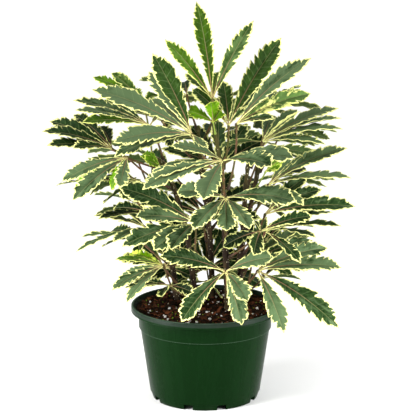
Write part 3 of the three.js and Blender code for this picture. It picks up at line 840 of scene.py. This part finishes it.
def bladeMaterial():
    material, tree, shader = newMaterial("aralia leaf")
    look = leafLook
    grid = put(tree, "Attribute", attribute_name="bladeGrid").outputs["Vector"]
    edge = split(tree, put(tree, "Attribute", attribute_name="bladeEdge").outputs["Vector"])
    toneNode = put(tree, "Attribute", attribute_name="bladeTone")
    lime, greyAndShade, blotch = put(tree, "SeparateColor", {0: toneNode.outputs["Color"]}).outputs[:3]
    under = toneNode.outputs["Alpha"]
    across = calc(tree, "ABSOLUTE", split(tree, grid)[0])
    margin, phase, share = edge[0], edge[1], edge[2]
    # green zones, drawn out along the leaflet
    zones = cloud(tree, scaled(tree, grid, (0.16, 0.05, 1.0)), 1.0, 3.0)
    fine = cloud(tree, scaled(tree, grid, (0.5, 0.3, 1.0)), 1.0, 4.0)
    zoneValue = calc(tree, "ADD", calc(tree, "MULTIPLY", zones, 1.1), calc(tree, "MULTIPLY", greyAndShade, 0.55))
    greyMask = spread(tree, calc(tree, "ADD", zoneValue, calc(tree, "MULTIPLY", fine, 0.12)), 0.66, 1.02)
    darkMix = mixed(tree, spread(tree, fine, 0.3, 0.7), look["darkGreen"], look["midGreen"])
    green = mixed(tree, greyMask, darkMix, look["greyGreen"])
    # painted shade: a grey below zero darkens the green towards a deep shade green
    paintedShade = spread(tree, greyAndShade, 0.0, -0.45)
    green = mixed(tree, paintedShade, green, look["paintedShadeGreen"])
    youngMix = mixed(tree, spread(tree, zones, 0.35, 0.65), look["brightGreen"], look["limeGreen"])
    green = mixed(tree, lime, green, youngMix)
    # side veins end in the teeth
    beat = calc(tree, "FRACT", calc(tree, "ADD", phase, 0.35))
    fromVein = calc(tree, "ABSOLUTE", calc(tree, "SUBTRACT", beat, 0.5))
    veins = calc(tree, "MULTIPLY", spread(tree, fromVein, 0.075, 0.02), spread(tree, margin, 1.0, 3.5))
    green = mixed(tree, calc(tree, "MULTIPLY", veins, 0.2), green, look["vein"])
    # cream margin that runs in and out along the edge
    ragged = cloud(tree, scaled(tree, grid, (0.22, 0.26, 1.0)), 1.0, 3.0, 0.6)
    depth = spread(tree, ragged, 0.36, 0.68, 0.4, 2.5)
    depth = calc(tree, "MULTIPLY", depth, spread(tree, share, 0.1, 0.35, 0.45, 1.0))
    depth = calc(tree, "MULTIPLY", depth, calc(tree, "SUBTRACT", 1.0, calc(tree, "MULTIPLY", lime, 0.5)))
    rim = spread(tree, calc(tree, "SUBTRACT", margin, depth), 0.28, -0.28)
    patch = cloud(tree, scaled(tree, grid, (0.12, 0.09, 1.0)), 1.0, 3.0, 0.65)
    patchMask = spread(tree, calc(tree, "ADD", patch, calc(tree, "MULTIPLY", blotch, 0.24)), 0.62, 0.72)
    rim = calc(tree, "MAXIMUM", rim, calc(tree, "MULTIPLY", patchMask, spread(tree, blotch, 0.0, 0.3)))
    creamMix = mixed(tree, lime, look["cream"], look["limeCream"])
    creamMix = mixed(tree, calc(tree, "MULTIPLY", fine, 0.35), creamMix, look["dullCream"])
    # painted shade also dulls the cream margins of the same leaves
    creamMix = mixed(tree, calc(tree, "MULTIPLY", paintedShade, 0.6), creamMix, look["paintedShadeCream"])
    colour = mixed(tree, rim, green, creamMix)
    # midrib, pinkish at the base and green at the tip
    ribWidth = spread(tree, share, 0.0, 1.0, 0.55, 0.2)
    rib = spread(tree, calc(tree, "SUBTRACT", across, ribWidth), 0.2, -0.15)
    ribColour = mixed(tree, spread(tree, share, 0.15, 0.95), look["midrib"], look["midribTip"])
    colour = mixed(tree, calc(tree, "MULTIPLY", rib, 0.7), colour, ribColour)
    colour = mixed(tree, calc(tree, "MULTIPLY", under, 0.45), colour, look["underside"])
    # a few scorched specks at the very edge
    scorch = groupMask(tree, speckleGroup, grid, Scale=0.11, Size=0.16, Cover=0.2)
    scorch = calc(tree, "MULTIPLY", scorch, spread(tree, margin, 1.1, 0.1))
    colour = mixed(tree, calc(tree, "MULTIPLY", scorch, 0.7), colour, look["scorch"])
    rough = calc(tree, "ADD", spread(tree, fine, 0.3, 0.7, 0.40, 0.54), calc(tree, "MULTIPLY", under, 0.2))
    relief = calc(tree, "ADD", calc(tree, "MULTIPLY", veins, -0.5), calc(tree, "MULTIPLY", fine, 0.5))
    relief = calc(tree, "ADD", relief, calc(tree, "MULTIPLY", rib, -0.6))
    feed(tree, shader, {
        "Base Color": colour,
        "Roughness": rough,
        "Specular IOR Level": 0.07,
        "Normal": bump(tree, relief, 0.5, 0.0006),
    })
    return material


def stalkMaterial():
    material, tree, shader = newMaterial("leaf stalk")
    look = stalkLook
    place = put(tree, "TexCoord").outputs["Object"]
    share = split(tree, put(tree, "Attribute", attribute_name="bladeEdge").outputs["Vector"])[2]
    tone = put(tree, "Attribute", attribute_name="bladeTone").outputs["Color"]
    lime = put(tree, "SeparateColor", {0: tone}).outputs[0]
    mottle = groupMask(tree, mottleGroup, place, Scale=220.0, Low=0.4, High=0.6)
    colour = mixed(tree, mottle, look["pink"], look["olive"])
    colour = mixed(tree, spread(tree, share, 0.3, 0.0), colour, look["dark"])
    colour = mixed(tree, calc(tree, "MULTIPLY", lime, 0.7), colour, look["young"])
    specks = groupMask(tree, speckleGroup, place, Scale=900.0, Size=0.24, Cover=0.45)
    colour = mixed(tree, calc(tree, "MULTIPLY", specks, 0.4), colour, look["speck"])
    feed(tree, shader, {
        "Base Color": colour,
        "Roughness": spread(tree, mottle, 0.0, 1.0, 0.45, 0.6),
        "Specular IOR Level": 0.12,
        "Normal": bump(tree, calc(tree, "ADD", specks, mottle), 0.3, 0.0004),
    })
    return material


def makeLeaves():
    materials = [bladeMaterial(), stalkMaterial()]
    for n, leaf in enumerate(leaves):
        parts = MeshParts()
        draw = np.random.RandomState(500 + n)
        # inner and back leaves get a grey below zero, which paints shade on them
        paintedShade = leaf["name"].startswith(("inner", "back"))
        greyAndShade = draw.uniform(-0.6, -0.1) if paintedShade else draw.uniform(0.3, 0.9)
        whole = leafTones.get(leaf["name"], (0.0, greyAndShade, 0.0))
        addStalk(parts, leaf, whole)
        for k, leaflet in leaf["settled"]:
            greyAndShade = min(1.0, max(-0.6, whole[1] + draw.uniform(-0.4, 0.4)))
            tone = leafletTones.get((leaf["name"], k), (whole[0], greyAndShade, whole[2]))
            leaflet.width *= slimLeaflets.get((leaf["name"], k), 1.0)
            addBlade(parts, leaflet, tone, 40 * n + k)
        piece = parts.build("aralia_leaf_" + leaf["name"], materials)
        slotName = "young_leaf_surface" if leaf["name"].startswith("new") else "leaf_surface"
        settlePiece(piece, slotName, "leaf_" + leaf["name"])


makeLeaves()
print("leaves made:", len(leaves))


# Stems

stemLook = {
    "sides": 20,
    "rowsPerStem": 150,
    "nodeSwell": 0.7,
    "firstScar": 104,
    "scarStep": 11,
    "scars": 14,
    "scarSwell": 0.22,
    "nodeLength": 2.2,
    "rough": 0.28,
    "slim": 0.82,
    "bark": (0.012, 0.007, 0.004, 1.0),
    "barkLight": (0.042, 0.028, 0.013, 1.0),
    "greenWood": (0.050, 0.055, 0.012, 1.0),
    "lenticel": (0.560, 0.520, 0.330, 1.0),
}


def stemMaterial():
    material, tree, shader = newMaterial("aralia bark")
    look = stemLook
    place = put(tree, "TexCoord").outputs["Object"]
    height = split(tree, place)[2]
    barkFlow = scaled(tree, place, (1.0, 1.0, 0.45))
    mottle = groupMask(tree, mottleGroup, barkFlow, Scale=190.0, Low=0.42, High=0.66)
    colour = mixed(tree, mottle, look["bark"], look["barkLight"])
    young = spread(tree, height, 0.20, 0.31)
    colour = mixed(tree, calc(tree, "MULTIPLY", young, 0.6), colour, look["greenWood"])
    drawnOut = scaled(tree, place, (1.0, 1.0, 0.7))
    specks = groupMask(tree, speckleGroup, drawnOut, Scale=520.0, Size=0.26, Cover=0.5)
    colour = mixed(tree, calc(tree, "MULTIPLY", specks, 0.75), colour, look["lenticel"])
    grain = cloud(tree, scaled(tree, place, (1.0, 1.0, 0.25)), 900.0, 4.0, 0.65)
    relief = calc(tree, "ADD", specks, grain)
    feed(tree, shader, {
        "Base Color": colour,
        "Roughness": spread(tree, mottle, 0.0, 1.0, 0.62, 0.85),
        "Specular IOR Level": 0.06,
        "Normal": bump(tree, relief, 0.6, 0.0006),
    })
    return material


def makeStems():
    material = stemMaterial()
    look = stemLook
    for name, curve in stems.items():
        parts = MeshParts()
        shares = np.linspace(0, 1, look["rowsPerStem"])
        line = np.array([curve.at(s) for s in shares])
        radii = np.array([stemRadius(s) * look["slim"] for s in shares])
        joints = [leaf["joint"] for leaf in leaves if leaf["stem"] == name]
        scars = [look["firstScar"] + look["scarStep"] * k for k in range(look["scars"])]
        for joint in joints + scars:
            swell = look["nodeSwell"] if joint in joints else look["scarSwell"]
            radii = radii + swell * np.exp(-((line[:, 2] - joint) / look["nodeLength"]) ** 2)
        wander = [surfaceNoise.noise(Vector((h * 0.09, len(name), 3.0))) for h in line[:, 2]]
        radii = radii + look["rough"] * np.array(wander)
        radii[-1] *= 0.35
        radii[-2] *= 0.8
        addRod(parts, line, radii, look["sides"], 0, (0, 0, 0))
        settlePiece(parts.build("aralia_stem_" + name, [material]), "bark", "stem_" + name)


makeStems()
print("stems made:", len(stems))


# Potting mix

soilLook = {
    "rings": 46,
    "sides": 168,
    "radius": 76.2,
    "top": 104.0,
    "dome": 1.9,
    "lumpHeight": 2.2,
    "chips": 950,
    "perlite": 105,
    "mossBits": 80,
    "stoneBits": 12,
    "dark": (0.006, 0.0035, 0.002, 1.0),
    "brown": (0.028, 0.013, 0.006, 1.0),
    "paleBits": (0.200, 0.160, 0.100, 1.0),
    "fibreDark": (0.020, 0.010, 0.006, 1.0),
    # the root ball under the top, as radius and height, down to the pot's raised floor
    "rootBall": [(72.0, 96.8), (70.0, 79.0), (59.3, 9.9), (57.2, 7.5), (42.0, 7.5), (40.2, 2.0)],
}

# colour, least and most size in mm, flatness
grainKinds = {
    "chips": [(0.110, 0.034, 0.013), 1.8, 6.5, 0.34],
    "perlite": [(0.880, 0.860, 0.820), 1.5, 4.2, 0.85],
    "mossBits": [(0.230, 0.380, 0.030), 1.2, 3.0, 0.5],
    "stoneBits": [(0.420, 0.400, 0.330), 0.7, 1.8, 0.7],
}


def soilHeight(x, y):
    r = math.hypot(x, y) / soilLook["radius"]
    base = soilLook["top"] - soilLook["dome"] * r * r
    rough = surfaceNoise.fractal(Vector((x * 0.11, y * 0.11, 1.7)), 0.7, 2.1, 5)
    return base + soilLook["lumpHeight"] * rough * (1 - 0.5 * r**6)


def roundStone():
    mesh = bpy.data.meshes.new("grainShape")
    shape = bmesh.new()
    bmesh.ops.create_icosphere(shape, subdivisions=2, radius=1.0)
    shape.to_mesh(mesh)
    shape.free()
    points = np.array([v.co[:] for v in mesh.vertices])
    faces = [tuple(p.vertices) for p in mesh.polygons]
    bpy.data.meshes.remove(mesh)
    return points, faces


def makeSoil():
    look = soilLook
    parts = MeshParts()
    draw = np.random.RandomState(11)
    rings, sides = look["rings"], look["sides"]
    radii = look["radius"] * np.linspace(0, 1, rings + 1)[1:]
    turn = 2 * math.pi * np.arange(sides) / sides
    points = [(0, 0, soilHeight(0, 0))]
    for r in radii:
        ring = [(r * math.cos(a), r * math.sin(a)) for a in turn]
        points += [(x, y, soilHeight(x, y)) for x, y in ring]
    for r, z in look["rootBall"]:
        points += [(r * math.cos(a), r * math.sin(a), z) for a in turn]
    points.append((0, 0, look["rootBall"][-1][1]))
    last = len(points) - 1
    faces = [(0, 1 + j, 1 + (j + 1) % sides) for j in range(sides)]
    for ring in gridFaces(rings + len(look["rootBall"]), sides, closed=True):
        faces.append((ring[0] + 1, ring[3] + 1, ring[2] + 1, ring[1] + 1))
    edge = last - sides
    faces += [(last, edge + (j + 1) % sides, edge + j) for j in range(sides)]
    colours = np.zeros((len(points), 4))
    parts.add(points, faces, grainColour=colours)
    shape, shapeFaces = roundStone()
    for kind, (colour, least, most, flat) in grainKinds.items():
        for _ in range(look[kind]):
            r, a = (look["radius"] - 3) * math.sqrt(draw.uniform()), draw.uniform(0, 2 * math.pi)
            x, y = r * math.cos(a), r * math.sin(a)
            size = least + (most - least) * draw.uniform() ** 2
            breadth = draw.uniform(0.35, 0.8) if flat < 0.6 else draw.uniform(0.75, 1.0)
            stretch = np.array([1.0, breadth, flat])
            lumps = 1 + draw.uniform(-0.2, 0.2, (len(shape), 1))
            spin, tip = draw.uniform(0, 2 * math.pi), draw.normal(0, 0.3, 2)
            c, s = math.cos(spin), math.sin(spin)
            grain = shape * lumps * stretch * size / 2
            grain[:, 2] += grain[:, 0] * tip[0] + grain[:, 1] * tip[1]
            grain[:, :2] = grain[:, :2] @ np.array([[c, s], [-s, c]])
            grain += [x, y, soilHeight(x, y) + 0.2 * size * draw.uniform(0, 1)]
            shade = draw.uniform(0.12, 1.5) if kind == "chips" else draw.uniform(0.8, 1.1)
            tint = np.tile([*(min(1.0, k * shade) for k in colour), 1.0], (len(shape), 1))
            parts.add(grain, shapeFaces, grainColour=tint)
    settlePiece(parts.build("potting_mix", [soilMaterial()], 50), "potting_mix", "soil")


def soilMaterial():
    material, tree, shader = newMaterial("potting mix")
    place = put(tree, "TexCoord").outputs["Object"]
    mottle = groupMask(tree, mottleGroup, place, Scale=260.0, Low=0.42, High=0.64)
    ground = mixed(tree, mottle, soilLook["dark"], soilLook["brown"])
    pale = groupMask(tree, speckleGroup, place, Scale=380.0, Size=0.2, Cover=0.16)
    ground = mixed(tree, calc(tree, "MULTIPLY", pale, 0.35), ground, soilLook["paleBits"])
    grain = put(tree, "Attribute", attribute_name="grainColour")
    fibre = cloud(tree, place, 1500.0, 4.0, 0.7)
    streaks = spread(tree, fibre, 0.35, 0.65, 0.0, 0.45)
    grainColour = mixed(tree, streaks, grain.outputs["Color"], soilLook["fibreDark"])
    colour = mixed(tree, grain.outputs["Alpha"], ground, grainColour)
    relief = calc(tree, "ADD", cloud(tree, place, 700.0, 5.0, 0.7), mottle)
    feed(tree, shader, {
        "Base Color": colour,
        "Roughness": spread(tree, fibre, 0.3, 0.7, 0.7, 0.95),
        "Specular IOR Level": 0.06,
        "Normal": bump(tree, relief, 0.8, 0.0012),
    })
    return material


makeSoil()
print("potting mix made")


# Nursery pot

potLook = {
    "sides": 240,
    "height": 106,
    "rimRadius": 82.5,
    "rimDepth": 7,
    "lipWidth": 3.5,
    "collarRadius": 74.5,
    "collarFoot": 80,
    "wallTopRadius": 72.4,
    "wallFootRadius": 61.8,
    "wallFoot": 7.5,
    "baseRadius": 59,
    "padRadius": 42,
    "channelTop": 5.5,
    "wall": 1.5,
    "notchBearings": [18, 63, 117, 162],
    "notchWidth": 10.5,
    "notchHeight": 6,
    "green": (0.0018, 0.0125, 0.0020, 1.0),
    "greenLight": (0.0022, 0.0145, 0.0026, 1.0),
    # painted sheen on the lip, with some wear
    "rimSheenAndWearGreen": (0.0150, 0.0230, 0.0170, 1.0),
    # painted highlight colour for the step and the lip's top edge
    "edgeHighlight": (0.0600, 0.1000, 0.0650, 1.0),
    "dust": (0.200, 0.190, 0.160, 1.0),
}


# The moulding's outline as radius and height: up the outside, over the lip and down the inside
def potProfile():
    p = potLook
    top = p["height"]
    lipFoot = top - p["rimDepth"]
    lipInner = p["rimRadius"] - p["lipWidth"]
    flareFoot = lipFoot - 2.6
    inner = p["collarRadius"]
    lip = []
    for a in range(0, 181, 15):
        r = math.radians(a)
        lip.append((p["rimRadius"] - 1.7 + 1.7 * math.cos(r), top - 1.5 + 1.5 * math.sin(r)))
    return [
        (p["padRadius"], 0.0),
        (p["padRadius"] + 1.5, p["channelTop"]),
        (p["baseRadius"] - 5, p["channelTop"]),
        (p["baseRadius"] - 3.5, 0.0),
        (p["baseRadius"] - 0.4, 0.0),
        (p["baseRadius"], 0.4),
        (p["wallFootRadius"] - 0.9, p["wallFoot"] - 0.5),
        (p["wallFootRadius"] - 0.15, p["wallFoot"] - 0.15),
        (p["wallFootRadius"], p["wallFoot"] + 0.2),
        (p["wallTopRadius"], p["collarFoot"]),
        (inner - 0.75, p["collarFoot"] + 0.5),
        (inner - 0.4, p["collarFoot"] + 1.2),
        (inner, flareFoot),
        (inner + 0.8, flareFoot + 0.8),
        (lipInner + 1, top - 2.3),
        (p["rimRadius"] - p["wall"], top - 2.3),
        (p["rimRadius"] - p["wall"], lipFoot + 0.3),
        (p["rimRadius"] - p["wall"] + 0.3, lipFoot),
        (p["rimRadius"] - 0.35, lipFoot),
        (p["rimRadius"], lipFoot + 0.4),
        *lip,
        (lipInner - 0.4, top - 2.2),
        (inner - p["wall"], flareFoot + 1),
        (inner - p["wall"] - 0.4, p["collarFoot"] + 1.2),
        (p["wallTopRadius"] - p["wall"], p["collarFoot"]),
        (p["wallFootRadius"] - p["wall"], p["wallFoot"] + 2),
        (p["wallFootRadius"] - p["wall"] - 2, p["channelTop"] + p["wall"]),
        (p["padRadius"] + 0.6, p["channelTop"] + p["wall"]),
        (p["padRadius"] - 1.2, p["wall"]),
    ]


def potMaterial():
    material, tree, shader = newMaterial("green pot plastic")
    look = potLook
    place = put(tree, "TexCoord").outputs["Object"]
    height = split(tree, place)[2]
    pulled = scaled(tree, place, (1.0, 1.0, 0.12))
    flow = groupMask(tree, mottleGroup, pulled, Scale=70.0, Low=0.35, High=0.7)
    colour = mixed(tree, flow, look["green"], look["greenLight"])
    # painted sheen: the lip is painted a greyer green for its sheen, with some wear
    onRim = spread(tree, height, 0.1006, 0.1016)
    colour = mixed(tree, calc(tree, "MULTIPLY", onRim, 0.85), colour, look["rimSheenAndWearGreen"])
    # painted highlight: the step and the top of the lip are painted paler where their edges catch the light
    stepHighlight = spread(tree, calc(tree, "ABSOLUTE", calc(tree, "SUBTRACT", height, 0.0806)), 0.0007, 0.0002)
    lipHighlight = spread(tree, height, 0.1052, 0.1058)
    stepHighlight = calc(tree, "MULTIPLY", stepHighlight, 0.45)
    paintedHighlight = calc(tree, "MAXIMUM", stepHighlight, calc(tree, "MULTIPLY", lipHighlight, 0.6))
    colour = mixed(tree, paintedHighlight, colour, look["edgeHighlight"])
    flattened = scaled(tree, place, (1.0, 1.0, 2.2))
    scuffs = groupMask(tree, speckleGroup, flattened, Scale=160.0, Size=0.1, Cover=0.22)
    dust = groupMask(tree, mottleGroup, place, Scale=34.0, Low=0.56, High=0.8)
    low = spread(tree, height, 0.022, 0.0, 0.0, 0.5)
    soiled = calc(tree, "MULTIPLY", dust, calc(tree, "ADD", low, calc(tree, "MULTIPLY", onRim, 0.5)))
    colour = mixed(tree, calc(tree, "MULTIPLY", soiled, 0.18), colour, look["dust"])
    colour = mixed(tree, calc(tree, "MULTIPLY", scuffs, 0.05), colour, look["dust"])
    skin = cloud(tree, place, 1400.0, 2.0)
    rough = calc(tree, "ADD", spread(tree, flow, 0.0, 1.0, 0.26, 0.30), calc(tree, "MULTIPLY", dust, 0.08))
    feed(tree, shader, {
        "Base Color": colour,
        "Roughness": calc(tree, "ADD", rough, calc(tree, "MULTIPLY", scuffs, 0.1)),
        "Specular IOR Level": 0.03,
        "Normal": bump(tree, calc(tree, "ADD", skin, calc(tree, "MULTIPLY", scuffs, -1.5)), 0.12, 0.0002),
    })
    return material


# One block for each notch, drawn a little past the wall on every side
def notchCutter():
    p = potLook
    parts = MeshParts()
    for bearing in p["notchBearings"]:
        for turn in (bearing - 90, -bearing - 90):
            a = math.radians(turn)
            outward = np.array([math.cos(a), math.sin(a), 0])
            across = np.array([-math.sin(a), math.cos(a), 0])
            corners = []
            for z in (-3.0, p["notchHeight"]):
                for r, w in ((-5.4, -1), (8, -1), (8, 1), (-5.4, 1)):
                    corner = outward * (p["baseRadius"] + r) + across * w * p["notchWidth"] / 2
                    corners.append(corner + [0, 0, z])
            sides = [(0, 1, 5, 4), (1, 2, 6, 5), (2, 3, 7, 6), (3, 0, 4, 7)]
            parts.add(corners, [(3, 2, 1, 0), (4, 5, 6, 7), *sides])
    return parts.build("notchCutter", [])


def makePot():
    profile = potProfile()
    sides = potLook["sides"]
    parts = MeshParts()
    turn = 2 * math.pi * np.arange(sides) / sides
    points = [(r * math.cos(a), r * math.sin(a), z) for r, z in profile for a in turn]
    rows = len(profile)
    faces = gridFaces(rows, sides, closed=True)
    foot, floor = len(points), len(points) + 1
    points += [(0, 0, 0), (0, 0, potLook["wall"])]
    faces += [(foot, (j + 1) % sides, j) for j in range(sides)]
    last = (rows - 1) * sides
    faces += [(floor, last + j, last + (j + 1) % sides) for j in range(sides)]
    parts.add(points, faces)
    pot = parts.build("nursery_pot", [potMaterial()])
    cutter = notchCutter()
    cut = pot.modifiers.new("notches", "BOOLEAN")
    cut.operation, cut.object, cut.solver = "DIFFERENCE", cutter, "EXACT"
    cutMesh = bpy.data.meshes.new_from_object(pot.evaluated_get(bpy.context.evaluated_depsgraph_get()))
    pot.modifiers.clear()
    pot.data = cutMesh
    cutMesh.polygons.foreach_set("use_smooth", [True] * len(cutMesh.polygons))
    cutMesh.set_sharp_from_angle(angle=math.radians(32))
    bpy.data.objects.remove(cutter)
    settlePiece(pot, "green_plastic", "pot")


makePot()
print("pot made")
